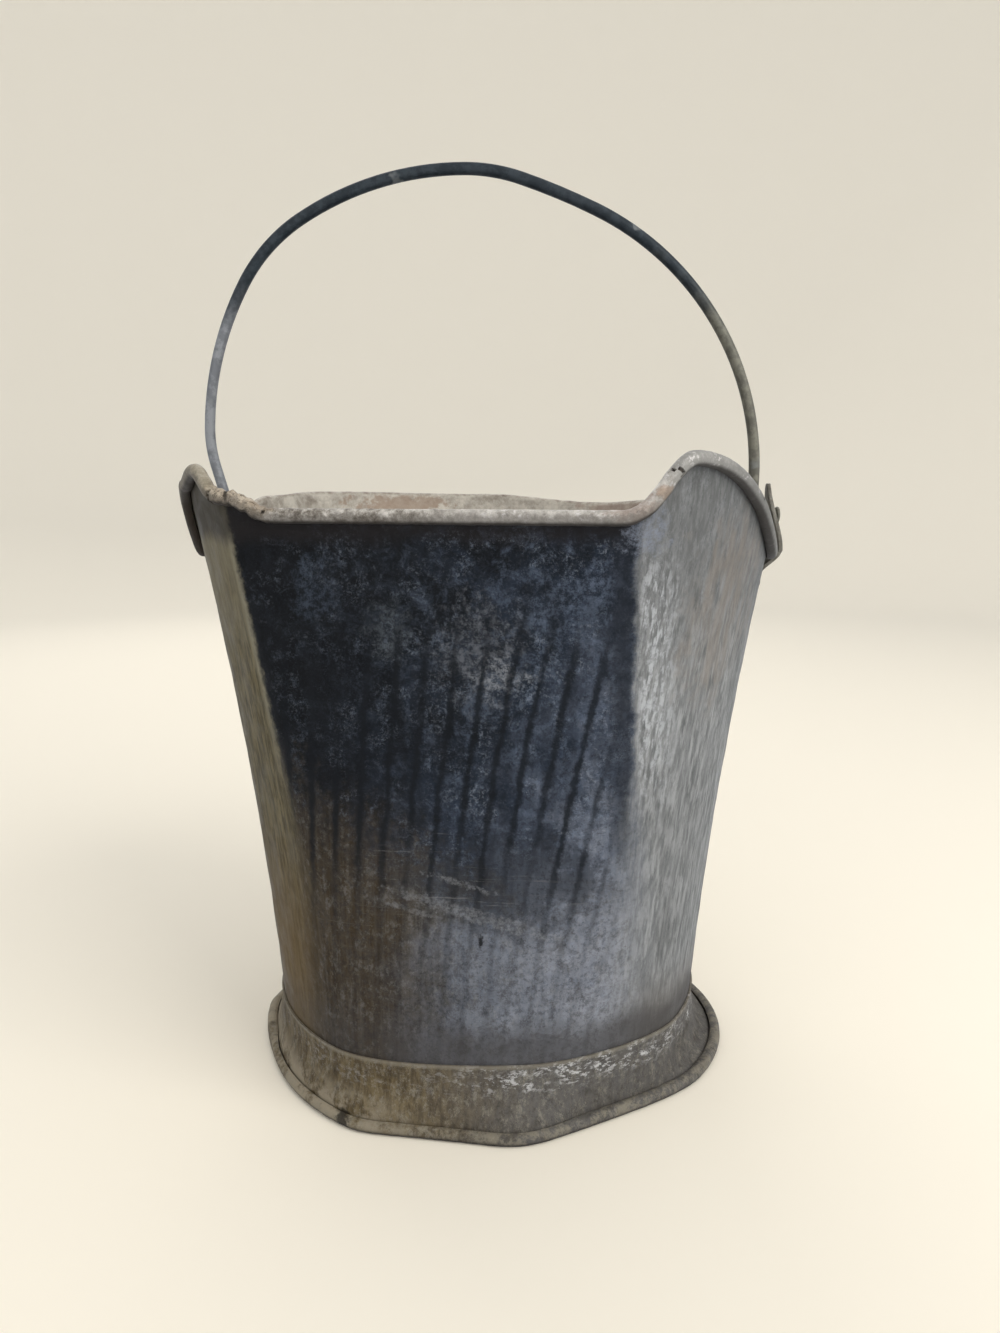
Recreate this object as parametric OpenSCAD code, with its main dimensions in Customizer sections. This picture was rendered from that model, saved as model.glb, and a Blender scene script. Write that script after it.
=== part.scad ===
// Crushed zinc-coated sheet-steel bucket with a swinging bail.
// Origin: centre of the foot, on the floor. +X right ear, +Y back, +Z up. Millimetres.

/* [Body sheets] */
// Outside radius of the body where it enters the foot
base_r = 111.5; // [95:0.5:135]
// Outside radius of the body at the rim
rim_r = 145; // [120:0.5:175]
// Height of the front rim, over its roll
rim_z = 288.5; // [240:0.5:347]
// Thickness of the coated sheet
sheet = 1; // [0.8:0.1:1.2]
// How far the side dishes in at half height
side_dish = 3.8; // [0:0.1:5]
// Width of the lap at each side seam
lap_w = 22; // [16:1:26]
// Gap left between two sheets that lap
lap_gap = 0.2; // [0.15:0.05:0.3]

/* [Crushed front] */
// Distance of the flattened front from the axis, at the foot
front_low = 104; // [98:0.5:110]
// Distance of the flattened front from the axis, at the rim
front_top = 115.5; // [108:0.5:130]
// How far the flattened front is dished at half height
front_dish = 4.1; // [0:0.1:8]
// Turn of the flattened front from foot to rim, in degrees
front_twist = 12; // [0:0.5:16]
// Softness of the creases at the rim
crease_top = 4; // [3:0.5:10]
// Softness of the creases at the foot
crease_low = 24; // [16:1:30]
// Depth of the knock low on the right-hand front
corner_knock = 6; // [0:0.5:8]

/* [Rim] */
// Radius of the wire inside every rolled edge
wire_r = 1.8; // [1.5:0.1:2.5]
// Gap between a wire and the sheet rolled round it
wire_gap = 0.35; // [0.3:0.05:0.5]
// Drop of the rim beside each ear
ear_dip = 20; // [12:1:24]
// Rise of the bent-up lobe on the right
right_lobe = 23; // [10:1:30]
// Rise of the bent-up lobe on the left
left_lobe = 18.5; // [10:0.5:30]
// Rise of the back rim over the front rim
back_rise = 3; // [0:0.5:6]

/* [Foot] */
// Height of the foot ring
foot_h = 34; // [28:1:42]
// Outside radius of the foot bead where it is still round
foot_r = 119.5; // [100:0.5:144]
// Distance of the two knocked-in stretches of the bead from the axis
foot_flat = 111.5; // [108:0.5:122]
// How far the bead has sprung out on the right
foot_spring = 9.5; // [0:0.5:10]
// Wear under the bead
foot_wear = 0.2; // [0.1:0.05:0.4]
// Height of the bottom pan over the floor
pan_z = 22; // [18:1:26]
// Depth of the pan's turned-down flange
pan_flange = 11; // [8:0.5:13]

/* [Ears] */
// Thickness of an ear plate
ear_t = 1.8; // [1.4:0.1:2.4]
// Width of an ear plate at its shoulders
ear_w = 26; // [22:1:30]
// Space between the right ear and the roll that it passes over
right_ear_clear = 2.3; // [1:0.1:6]
// How far the upper half of the left ear is bent out from the wall
left_ear_out = 9.5; // [8:0.5:12]
// Diameter of a rivet's shank
rivet_d = 4; // [3:0.1:5]
// Diameter of a rivet's head
rivet_head = 7.6; // [6:0.1:8.5]
// Clearance round a rivet's shank
rivet_gap = 0.1; // [0.05:0.05:0.2]

/* [Bail] */
// Diameter of the bail's round bar
bar_d = 6; // [4.5:0.1:7.2]
// Clearance round the bail's end in its eye
eye_gap = 0.25; // [0.15:0.05:0.5]
// Rise of the bail's crown over its eyes, to the middle of the bar
bail_rise = 166.6; // [158:0.2:200]
// Space between the right ear and the widest part of the bail's middle line
bail_in = 6; // [4.5:0.5:9]
// Bend radius at the bail's hooked ends
hook_r = 6; // [5:0.5:8]
// Diameter of the head upset on each end
upset_d = 8.4; // [7.5:0.1:10]

/* [Hidden] */
$fn = 48;

roll_in = wire_r + wire_gap;            // inside radius of a rolled edge
roll_out = roll_in + sheet;             // outside radius of a rolled edge
base_z = 32;                            // height at which base_r is measured
body_low = pan_z - pan_flange;          // lower edge of the two body sheets
lap_half = asin(lap_w / 2 / rim_r);     // half the lap, as an angle
wall_rows = 6;
curl_steps = 8;
curl_sweep = 300;
wire_sides = 8;

// Rim height over rim_z against azimuth, from the right ear round by the back
rim_line = [[0, -ear_dip], [8, -ear_dip], [30, back_rise], [62, back_rise - 5], [92, back_rise],
            [135, back_rise + 2], [151, back_rise], [172, -ear_dip], [187, -ear_dip],
            [203, left_lobe - 6], [213, left_lobe], [220, 8], [222, 7], [228, 0], [293, 0],
            [304, right_lobe], [347, -ear_dip], [360, -ear_dip]];

// ---- outline of the crushed body ----

function mix(a, b, t) = a + (b - a) * t;
function ease(t) = (1 - cos(180 * t)) / 2;
function soft_min(a, b, k) =
    let(h = max(0, min(1, 0.5 + 0.5 * (b - a) / k))) mix(b, a, h) - k * h * (1 - h);
function height_part(z) = (z - base_z) / (rim_z - base_z);
function dish(t) = 4 * max(t, 0) * max(1 - t, 0);
function round_r(z) = let(t = height_part(z)) mix(base_r, rim_r, t) - side_dish * dish(t);
function flat_r(a, middle, dist) = let(c = cos(a - middle)) c > 0.2 ? dist / c : 1000;
function front_dist(z) =
    let(t = height_part(z)) mix(front_low, front_top, max(t, 0) * t) - front_dish * dish(t);
function crease(z) = let(t = 1 - max(0, min(1, height_part(z)))) mix(crease_top, crease_low, t * t);
function knock_dist(z) = round_r(z) + corner_knock * (height_part(z) / 0.35 - 1);
function wall_r(a, z) =
    soft_min(soft_min(round_r(z), flat_r(a, 270 - front_twist * height_part(z), front_dist(z)),
                      crease(z)),
             flat_r(a, 298, knock_dist(z)), 10);
function on_wall(a, z, inset = 0) = let(r = wall_r(a, z)) [r * cos(a), r * sin(a), z]
    - inset * wall_out(a, z);
function wall_out(a, z) =
    let(p = wall_r(a - 1, z), q = wall_r(a + 1, z),
        dx = q * cos(a + 1) - p * cos(a - 1), dy = q * sin(a + 1) - p * sin(a - 1),
        l = norm([dx, dy])) [dy / l, -dx / l, 0];

function turn(a) = a < 0 ? a + 360 : a > 360 ? a - 360 : a;
function rim_top(a) =
    let(b = turn(a), i = [for (k = [0:len(rim_line) - 2]) if (rim_line[k][0] <= b) k],
        p = rim_line[i[len(i) - 1]], q = rim_line[i[len(i) - 1] + 1])
    rim_z + mix(p[1], q[1], ease((b - p[0]) / (q[0] - p[0])));
function roll_z(a) = rim_top(a) - roll_out;

// How far the back sheet steps in to pass behind the front sheet, 0 to 1
function behind(a) =
    let(b = turn(a), off = min(min(b, 360 - b), abs(b - 180)))
    1 - ease(max(0, min(1, (off - lap_half) / 4)));

// ---- thin bands and wires swept round the bucket ----

// A column of a rolled sheet: [points of its outside, points of its inside]
function rolled_column(a, inset) =
    let(zc = roll_z(a), n = wall_out(a, zc), p = on_wall(a, zc, inset),
        t = on_wall(a + 1, roll_z(a + 1)) - on_wall(a - 1, roll_z(a - 1)),
        v = cross(n, t) / norm(cross(n, t)), c = p + roll_in * n,
        rows = [for (i = [0:wall_rows - 1]) mix(body_low, zc, i / wall_rows)],
        arc = [for (k = [0:curl_steps]) let(w = 180 - curl_sweep * k / curl_steps)
               cos(w) * n + sin(w) * v])
    [concat([for (z = rows) on_wall(a, z, inset)], [for (d = arc) c + roll_in * d]),
     concat([for (z = rows) on_wall(a, z, inset + sheet)], [for (d = arc) c + roll_out * d])];

// A ring of a wire laid in a roll
function wire_ring(c, n, v) =
    [for (k = [0:wire_sides - 1]) let(w = 360 * k / wire_sides)
     c + wire_r * (cos(w) * n + sin(w) * v)];
function rim_ring(a, inset) =
    let(zc = roll_z(a), n = wall_out(a, zc),
        t = on_wall(a + 1, roll_z(a + 1)) - on_wall(a - 1, roll_z(a - 1)))
    wire_ring(on_wall(a, zc, inset) + roll_in * n, n, cross(n, t) / norm(cross(n, t)));

// Solid band through columns of paired points
module band(cols, closed = false) {
    m = len(cols[0][0]);
    count = len(cols);
    last = closed ? count - 1 : count - 2;
    pts = [for (c = cols) for (side = c) for (p = side) p];
    function id(i, side, j) = ((i % count) * 2 + side) * m + j;
    walls = [for (i = [0:last]) for (j = [0:m - 2])
             for (f = [[id(i, 0, j), id(i, 0, j + 1), id(i + 1, 0, j + 1)],
                       [id(i, 0, j), id(i + 1, 0, j + 1), id(i + 1, 0, j)],
                       [id(i, 1, j), id(i + 1, 1, j + 1), id(i, 1, j + 1)],
                       [id(i, 1, j), id(i + 1, 1, j), id(i + 1, 1, j + 1)]]) f];
    edges = [for (i = [0:last])
             for (f = [[id(i, 0, 0), id(i + 1, 0, 0), id(i + 1, 1, 0)],
                       [id(i, 0, 0), id(i + 1, 1, 0), id(i, 1, 0)],
                       [id(i + 1, 0, m - 1), id(i, 0, m - 1), id(i, 1, m - 1)],
                       [id(i + 1, 0, m - 1), id(i, 1, m - 1), id(i + 1, 1, m - 1)]]) f];
    ends = closed ? [] : [for (j = [0:m - 2])
             for (f = [[id(0, 0, j + 1), id(0, 0, j), id(0, 1, j)],
                       [id(0, 0, j + 1), id(0, 1, j), id(0, 1, j + 1)],
                       [id(count - 1, 0, j), id(count - 1, 0, j + 1), id(count - 1, 1, j + 1)],
                       [id(count - 1, 0, j), id(count - 1, 1, j + 1), id(count - 1, 1, j)]]) f];
    polyhedron(pts, concat(walls, edges, ends), convexity = 10);
}

// Solid wire through rings of points
module wire(rings, closed = false) {
    m = len(rings[0]);
    count = len(rings);
    last = closed ? count - 1 : count - 2;
    function id(i, k) = (i % count) * m + k % m;
    sides = [for (i = [0:last]) for (k = [0:m - 1])
             for (f = [[id(i, k), id(i, k + 1), id(i + 1, k + 1)],
                       [id(i, k), id(i + 1, k + 1), id(i + 1, k)]]) f];
    ends = closed ? [] : [[for (k = [m - 1:-1:0]) id(0, k)], [for (k = [0:m - 1]) id(count - 1, k)]];
    polyhedron([for (r = rings) for (p = r) p], concat(sides, ends), convexity = 10);
}

// ---- body sheets and their rim wires ----

// Azimuths of the columns: close together at the two creases, wide apart on plain stretches
function span(from, to, steps) = [for (i = [0:steps - 1]) mix(from, to, i / steps)];
// Both sheets have columns at the same places in the laps
function seam(a) = [a - lap_half, a, a + lap_half];
front_turns = concat(seam(180), span(188, 210, 6), span(210, 230, 10), span(230, 288, 8),
                     span(288, 302, 7), span(302, 352, 12), [352], seam(360));
back_turns = concat(seam(0), span(lap_half + 4, 172 - lap_half, 28), [172 - lap_half, 176 - lap_half],
                    seam(180));

ear_roll_z = rim_z - ear_dip - roll_out;     // middle of the roll under an ear
rivet_y = 5;                                 // rivets stand this far each side of an ear's middle
rivet_z = ear_roll_z - 17;
wall_lean = atan((round_r(rivet_z + 8) - round_r(rivet_z - 8)) / 16);

// Places children on the outside of the wall at a rivet, with +Z pointing outwards
module at_rivet(side, y) {
    mirror([side < 0 ? 1 : 0, 0, 0])
        translate([round_r(rivet_z), y, rivet_z]) rotate([0, 90 + wall_lean, 0]) children();
}

module rivet_holes() {
    for (side = [-1, 1])
        for (y = [-rivet_y, rivet_y])
            at_rivet(side, y) cylinder(d = rivet_d + 2 * rivet_gap, h = 24, center = true);
}

// Where the rolls stop, from the middle of an ear: under the right ear, short of the left one
function roll_gap(side) = side > 0 ? 2.5 : ear_w / 2 + 1;

// Clears the roll of one sheet from its side of each seam
module seam_notch(to_back) {
    reach = 3 * lap_w;
    for (side = [-1, 1])
        translate([side * rim_r - reach / 2, to_back ? -roll_gap(side) : roll_gap(side) - reach,
                   ear_roll_z - roll_out - 1])
            cube([reach, reach, rim_z]);
}

module front_sheet() color("#4b5056") difference() {
    band([for (a = front_turns) rolled_column(a, 0)]);
    seam_notch(true);
    rivet_holes();
}

module back_sheet() color("#8f8f8a") difference() {
    band([for (a = back_turns) rolled_column(a, (sheet + lap_gap) * behind(a))]);
    seam_notch(false);
    rivet_holes();
}

// A rim wire runs between the ends of its roll
function wire_stop(side) = asin((roll_gap(side) + 1.5) / rim_r);
front_wire_turns = concat([180 + wire_stop(-1)],
    [for (a = front_turns) if (a > 181 + wire_stop(-1) && a < 359 - wire_stop(1)) a], [360 - wire_stop(1)]);
back_wire_turns = concat([wire_stop(1)],
    [for (a = back_turns) if (a > 1 + wire_stop(1) && a < 179 - wire_stop(-1)) a], [180 - wire_stop(-1)]);

module front_rim_wire() color("#6d6a66") wire([for (a = front_wire_turns) rim_ring(a, 0)]);

module back_rim_wire() color("#6d6a66")
    wire([for (a = back_wire_turns) rim_ring(a, (sheet + lap_gap) * behind(a))]);

// ---- foot ring, its wire and the bottom pan ----

foot_turns = concat(span(0, 226, 34), span(226, 240, 7), span(240, 360, 22));
skirt_start = foot_h - 6;                    // the ring hugs the body above this height
foot_roll_z = roll_out - foot_wear;          // middle of the bead
skirt_rows = 4;

function sprung(a) = foot_spring * pow(max(0, cos(1.8 * (turn(a + 185) - 180))), 2);
function bead_r(a) =
    soft_min(soft_min(foot_r + sprung(a), flat_r(a, 261, foot_flat), 3),
             flat_r(a, 298, foot_flat), 10);
function hug_r(a, z) = wall_r(a, z) + lap_gap + sheet;
function skirt_r(a) = max(bead_r(a) - roll_in - roll_out, hug_r(a, skirt_start) + sheet / 2);
function on_skirt(a, z) =
    let(s = max(0, (skirt_start - z) / (skirt_start - foot_roll_z)),
        r = mix(hug_r(a, max(z, skirt_start)), skirt_r(a), s)) [r * cos(a), r * sin(a), z];
function skirt_out(a, z) =
    let(d = on_skirt(a + 1, z) - on_skirt(a - 1, z)) [d[1], -d[0], 0] / norm(d);
function foot_middle(a) = on_skirt(a, foot_roll_z) + roll_in * skirt_out(a, foot_roll_z);
function foot_column(a) =
    let(n = skirt_out(a, foot_roll_z), c = foot_middle(a), up = [0, 0, 1],
        arc = [for (k = [curl_steps:-1:0]) let(w = 180 + curl_sweep * k / curl_steps)
               cos(w) * n + sin(w) * up],
        rows = concat([for (i = [1:skirt_rows]) mix(foot_roll_z, skirt_start, i / skirt_rows)], [foot_h]))
    [concat([for (d = arc) c + roll_in * d], [for (z = rows) on_skirt(a, z)]),
     concat([for (d = arc) c + roll_out * d],
            [for (z = rows) on_skirt(a, z) - sheet * skirt_out(a, z)])];

module foot_ring() color("#6f6a60") difference() {
    band([for (a = foot_turns) foot_column(a)], closed = true);
    translate([-2 * foot_r, -2 * foot_r, -foot_r]) cube([4 * foot_r, 4 * foot_r, foot_r]);
}

module foot_wire() color("#55524d")
    wire([for (a = foot_turns) wire_ring(foot_middle(a), skirt_out(a, foot_roll_z), [0, 0, 1])],
         closed = true);

module pan_outline(inset)
    polygon([for (a = foot_turns) let(p = on_wall(a, body_low, inset)) [p[0], p[1]]]);

module bottom_pan() color("#7d7c76") {
    pan_inset = sheet + lap_gap + (sheet + lap_gap);   // clears the stepped-in back sheet
    translate([0, 0, body_low]) difference() {
        linear_extrude(pan_flange) pan_outline(pan_inset);
        translate([0, 0, -sheet]) linear_extrude(pan_flange) pan_outline(pan_inset + sheet);
    }
}

// ---- ears and their rivets ----

ear_seat = 0.2;                              // gap between an ear's tab and the wall
ear_low = rivet_z - 7.5;
ear_tip = ear_roll_z + 33;
eye_z = ear_roll_z + 17;
ear_samples = 26;

// Side views: [height over the roll's middle, distance out from the wall], from the tab up
right_ear_line = [[rivet_z + 4.5 - ear_roll_z, 0], [0, roll_in + roll_out + right_ear_clear],
                  [ear_tip - ear_roll_z, roll_in + roll_out + right_ear_clear - 4.7]];
left_ear_line = [[-2, 0], [20, left_ear_out], [ear_tip - ear_roll_z, left_ear_out + 0.5]];

// Inner face of an ear plate, against height
function ear_x(z, line) =
    let(h = z - ear_roll_z, wall_x = round_r(min(z, ear_roll_z)) + ear_seat,
        k = h < line[1][0] ? 0 : 1, p = line[k], q = line[k + 1])
    wall_x + (h < line[0][0] ? 0 : mix(p[1], q[1], ease(min(1, (h - p[0]) / (q[0] - p[0])))));
function ear_face(z, line, off) =
    let(s = ear_x(z + 0.5, line) - ear_x(z - 0.5, line)) [ear_x(z, line), z] + off * [1, -s] / norm([1, s]);

module ear_section(line) {
    heights = [for (i = [0:ear_samples]) mix(ear_low, ear_tip, i / ear_samples)];
    polygon(concat([for (z = heights) ear_face(z, line, 0)],
                   [for (i = [ear_samples:-1:0]) ear_face(heights[i], line, ear_t)]));
}

module ear_outline() {
    half = ear_w / 2;
    polygon([[-0.6 * half, ear_low - 5], [0.6 * half, ear_low - 5], [0.7 * half, rivet_z + 4],
             [half - 1, ear_roll_z - 4], [half, ear_roll_z], [half - 1, ear_roll_z + 5],
             [2.6, ear_tip - 2], [1.2, ear_tip], [-1.2, ear_tip], [-2.6, ear_tip - 2],
             [1 - half, ear_roll_z + 5], [-half, ear_roll_z], [1 - half, ear_roll_z - 4],
             [-0.7 * half, rivet_z + 4]]);
}

module ear(side, line) difference() {
    mirror([side < 0 ? 1 : 0, 0, 0]) difference() {
        intersection() {
            rotate([90, 0, 0]) linear_extrude(2 * ear_w, center = true) ear_section(line);
            translate([rim_r / 2, 0, 0]) rotate([90, 0, 90]) linear_extrude(rim_r) ear_outline();
        }
        translate([rim_r / 2, 0, eye_z]) rotate([0, 90, 0]) cylinder(d = bar_d + 2 * eye_gap, h = rim_r);
    }
    rivet_holes();
}

module right_ear() color("#5f5d57") ear(1, right_ear_line);
module left_ear() color("#4e4b45") ear(-1, left_ear_line);

// Domed head outside, flat head inside, shank through the ear and both sheets
module rivet(side, y) {
    head_out = ear_seat + ear_t + 0.05;
    head_in = 2 * sheet + lap_gap + 0.3;
    dome_r = 4.6;
    dome_h = 1.8;
    at_rivet(side, y) {
        translate([0, 0, -head_in - 0.5]) cylinder(d = rivet_d, h = head_in + head_out + 1);
        translate([0, 0, -head_in - 1]) cylinder(d = rivet_head - 0.6, h = 1);
        intersection() {
            translate([0, 0, head_out]) cylinder(d = rivet_head, h = dome_h + 1);
            translate([0, 0, head_out + dome_h - dome_r]) sphere(r = dome_r);
        }
    }
}

module right_ear_rivet_front() color("#77756d") rivet(1, -rivet_y);
module right_ear_rivet_back() color("#77756d") rivet(1, rivet_y);
module left_ear_rivet_front() color("#77756d") rivet(-1, -rivet_y);
module left_ear_rivet_back() color("#77756d") rivet(-1, rivet_y);

// ---- bail ----

bail_half = ear_x(eye_z, right_ear_line) - bail_in;
crown_x = -0.072 * bail_half;
// Bends from the crown down each leg: [radius over bail_half, degrees turned]
left_bends = [[1.097, 32], [0.611, 28], [1.11, 27], [0.448, 18]];
right_bends = [[0.639, 18], [2.458, 6.5], [1.03, 37], [0.987, 33]];

// Stations down one leg from the crown: [distance out, drop, heading below level]
bend_steps = 4;
function step(s, r, a) = let(h = s[2])
    [s[0] + r * (sin(h + a) - sin(h)), s[1] + r * (cos(h) - cos(h + a)), h + a];
function run(bends, i = 0, s = [0, 0, 0]) =
    i == len(bends) ? []
    : let(r = bends[i][0] * bail_half, a = bends[i][1])
      concat([for (k = [1:bend_steps]) step(s, r, a * k / bend_steps)], run(bends, i + 1, step(s, r, a)));
// The leg runs straight to its hook, which turns outwards until it is level
function leg_stations(bends) =
    let(bent = run(bends), s = bent[len(bent) - 1], h = s[2],
        leg = (bail_rise - s[1] - hook_r * (1 - cos(h))) / sin(h),
        foot = [s[0] + leg * cos(h), s[1] + leg * sin(h), h],
        hook = [for (k = [0:6]) step(foot, -hook_r, -h * k / 6)], last = hook[6])
    concat(bent, hook, [[last[0] + 1, last[1], 0]]);

// A ring of the bar at a station; side is 1 on the right leg and -1 on the left
bar_sides = 16;
bar_ring_r = bar_d / 2 - 0.04;               // the swept bar runs into its round ends
head_play = 0.4;                             // space between an ear and the upset head
function bar_ring(s, side) =
    let(c = [crown_x + side * s[0], 0, eye_z + bail_rise - s[1]], n = [side * sin(s[2]), 0, cos(s[2])])
    [for (k = [0:bar_sides - 1]) let(w = 360 * k / bar_sides)
     c + bar_ring_r * (cos(w) * n + sin(w) * [0, 1, 0])];

right_leg = leg_stations(right_bends);
left_leg = leg_stations(left_bends);

// The round end that turns in the eye, with its upset head outside the ear
module bar_end(side, leg, line) {
    hook_x = abs(crown_x + side * leg[len(leg) - 1][0]) - 1;
    head_x = max(ear_face(eye_z - upset_d / 2, line, ear_t)[0],
                 ear_face(eye_z + upset_d / 2, line, ear_t)[0]) + head_play;
    mirror([side < 0 ? 1 : 0, 0, 0]) translate([hook_x, 0, eye_z]) rotate([0, 90, 0]) {
        cylinder(d = bar_d, h = head_x - hook_x + 1);
        translate([0, 0, head_x - hook_x]) cylinder(d = upset_d, h = 1.6);
    }
}

module bail() color("#43505a") {
    wire([for (i = [len(left_leg) - 1:-1:0]) bar_ring(left_leg[i], -1), bar_ring([0, 0, 0], 1),
          for (s = right_leg) bar_ring(s, 1)]);
    bar_end(1, right_leg, right_ear_line);
    bar_end(-1, left_leg, left_ear_line);
}

front_sheet();
back_sheet();
front_rim_wire();
back_rim_wire();
foot_ring();
foot_wire();
bottom_pan();
right_ear();
left_ear();
right_ear_rivet_front();
right_ear_rivet_back();
left_ear_rivet_front();
left_ear_rivet_back();
bail();
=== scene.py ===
import math
import bmesh
import bpy
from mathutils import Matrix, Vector, noise


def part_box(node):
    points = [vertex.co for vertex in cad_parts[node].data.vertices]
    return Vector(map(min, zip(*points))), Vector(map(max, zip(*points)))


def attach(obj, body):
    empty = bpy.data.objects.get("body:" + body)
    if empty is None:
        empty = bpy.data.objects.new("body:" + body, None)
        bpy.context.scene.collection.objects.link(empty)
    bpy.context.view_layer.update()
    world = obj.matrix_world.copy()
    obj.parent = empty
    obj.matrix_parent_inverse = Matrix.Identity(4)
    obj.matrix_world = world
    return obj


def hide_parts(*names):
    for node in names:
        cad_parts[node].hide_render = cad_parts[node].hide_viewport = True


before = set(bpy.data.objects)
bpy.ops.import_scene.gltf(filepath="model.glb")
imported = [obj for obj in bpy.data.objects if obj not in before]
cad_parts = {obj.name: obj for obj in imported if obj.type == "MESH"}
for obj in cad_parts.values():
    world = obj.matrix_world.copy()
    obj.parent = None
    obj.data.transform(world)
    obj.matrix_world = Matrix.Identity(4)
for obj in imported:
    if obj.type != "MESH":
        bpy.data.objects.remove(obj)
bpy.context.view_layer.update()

# ---- the floor it stands on, the light and the camera ----
# A plain pale floor that sweeps up into a low wall all round, soft lamps to the right and the
# left of the crushed front, and a camera a little over half a metre from the middle of the bucket.
scene = bpy.context.scene
scene.view_settings.view_transform = "Standard"


def tone(red, green, blue):
    """A colour given from 0 to 255, in Blender's linear values."""
    parts = [c / 255 for c in (red, green, blue)]
    return tuple(c / 12.92 if c < 0.04 else ((c + 0.055) / 1.055) ** 2.4 for c in parts) + (1.0,)


def put(tree, kind, feeds=None, **settings):
    """Adds a node, sets it up and feeds its inputs with values or other nodes' sockets."""
    made = tree.nodes.new(kind)
    for name, value in settings.items():
        setattr(made, name, value)
    for name, value in (feeds or {}).items():
        if isinstance(value, bpy.types.NodeSocket):
            tree.links.new(value, made.inputs[name])
        else:
            made.inputs[name].default_value = value
    return made


def new_material(name, metallic=0.0, specular=0.5):
    """A material with an empty Principled shader, as (material, node tree, shader)."""
    material = bpy.data.materials.new(name)
    material.use_nodes = True
    tree = material.node_tree
    shader = tree.nodes["Principled BSDF"]
    shader.inputs["Metallic"].default_value = metallic
    shader.inputs["Specular IOR Level"].default_value = specular
    return material, tree, shader


floor_reach, sweep, backdrop_top = 1.9, 0.6, 2.4
floor_mesh = bmesh.new()
floor_line = [floor_mesh.verts.new((0, 0, 0)), floor_mesh.verts.new((floor_reach, 0, 0))]
for step in range(1, 13):
    lift = math.radians(7.5 * step)
    floor_line.append(floor_mesh.verts.new((floor_reach + sweep * math.sin(lift), 0,
                                            sweep * (1 - math.cos(lift)))))
floor_line.append(floor_mesh.verts.new((floor_reach + sweep, 0, backdrop_top)))
floor_edges = [floor_mesh.edges.new(pair) for pair in zip(floor_line, floor_line[1:])]
bmesh.ops.spin(floor_mesh, geom=floor_line + floor_edges, axis=(0, 0, 1), angle=math.tau, steps=64,
               use_merge=True)
bmesh.ops.remove_doubles(floor_mesh, verts=floor_mesh.verts, dist=1e-5)
bmesh.ops.recalc_face_normals(floor_mesh, faces=floor_mesh.faces)
floor_data = bpy.data.meshes.new("pale_floor")
floor_mesh.to_mesh(floor_data)
floor_mesh.free()
floor_data.shade_smooth()
floor = bpy.data.objects.new("pale_floor", floor_data)
scene.collection.objects.link(floor)
floor_paint, floor_tree, floor_shader = new_material("cream_floor", specular=0.2)
seen = put(floor_tree, "ShaderNodeMix", {0: put(floor_tree, "ShaderNodeLightPath").outputs[
    "Is Camera Ray"], 6: tone(228, 229, 230), 7: tone(254, 245, 226)}, data_type="RGBA").outputs[2]
floor_tree.links.new(seen, floor_shader.inputs["Base Color"])
floor_shader.inputs["Roughness"].default_value = 0.9
floor_data.materials.append(floor_paint)

world = bpy.data.worlds.new("studio_air")
world.use_nodes = True
world.node_tree.nodes["Background"].inputs["Color"].default_value = tone(238, 240, 244)
world.node_tree.nodes["Background"].inputs["Strength"].default_value = 0.75
scene.world = world

for lamp_name, spot, size, watts, colour in (
        ("right_window", (1.15, -0.95, 1.15), 1.3, 19.0, (1.0, 0.99, 0.975)),
        ("front_fill", (-0.75, -1.5, 0.9), 1.6, 6.0, (1.0, 0.98, 0.96)),
        ("back_fill", (-0.5, 1.4, 1.3), 1.4, 8.0, (1.0, 0.985, 0.97))):
    lamp_data = bpy.data.lights.new(lamp_name, "AREA")
    lamp_data.size = size
    lamp_data.energy = watts
    lamp_data.color = colour
    lamp = bpy.data.objects.new(lamp_name, lamp_data)
    lamp.location = spot
    lamp.rotation_euler = (Vector((0, 0, 0.2)) - Vector(spot)).to_track_quat("-Z", "Y").to_euler()
    scene.collection.objects.link(lamp)

camera_data = bpy.data.cameras.new("front_camera")
camera_data.sensor_width = 36.0
camera_data.lens = 27.0
camera_data.clip_start = 0.01
camera = bpy.data.objects.new("front_camera", camera_data)
camera.location = (0.007, -0.522, 0.2995)
camera.rotation_euler = (math.radians(79.5), 0, 0)
scene.collection.objects.link(camera)
scene.camera = camera

# ---- front half of the body ----
# One sheet of zinc-coated steel, bent round, lapped over the back sheet at both side seams and
# rolled outwards over a wire at its top edge. It has been crushed flat, which left two creases,
# bent-up lobes at both corners, a crumpled and cracked roll beside them, and a knock low down.
MM = 0.001
base_r, rim_r, rim_z, base_z = 111.5, 145.0, 288.5, 32.0
sheet_t = 1.0
lap_gap = 0.2
body_low = 11.0
roll_in = 2.15
roll_out = roll_in + sheet_t
curl_sweep = 300.0
ear_roll_z = 265.35
rim_line = [(0, -20), (8, -20), (30, 3), (62, -2), (92, 3), (135, 5), (151, 3), (172, -20),
            (187, -20), (203, 12.5), (213, 18.5), (220, 8), (222, 7), (228, 0), (293, 0), (304, 23),
            (347, -20), (360, -20)]


def mix(a, b, t):
    return a + (b - a) * t


def clamp(t):
    return max(0.0, min(1.0, t))


def ease(t):
    return (1 - math.cos(math.pi * clamp(t))) / 2


def cosd(a):
    return math.cos(math.radians(a))


def sind(a):
    return math.sin(math.radians(a))


def soft_min(a, b, k):
    h = clamp(0.5 + 0.5 * (b - a) / k)
    return mix(b, a, h) - k * h * (1 - h)


def height_part(z):
    return (z - base_z) / (rim_z - base_z)


def dish(t):
    return 4 * max(t, 0) * max(1 - t, 0)


def round_r(z):
    return mix(base_r, rim_r, height_part(z)) - 3.8 * dish(height_part(z))


def flat_r(a, middle, distance):
    c = cosd(a - middle)
    return distance / c if c > 0.2 else 1000.0


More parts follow.
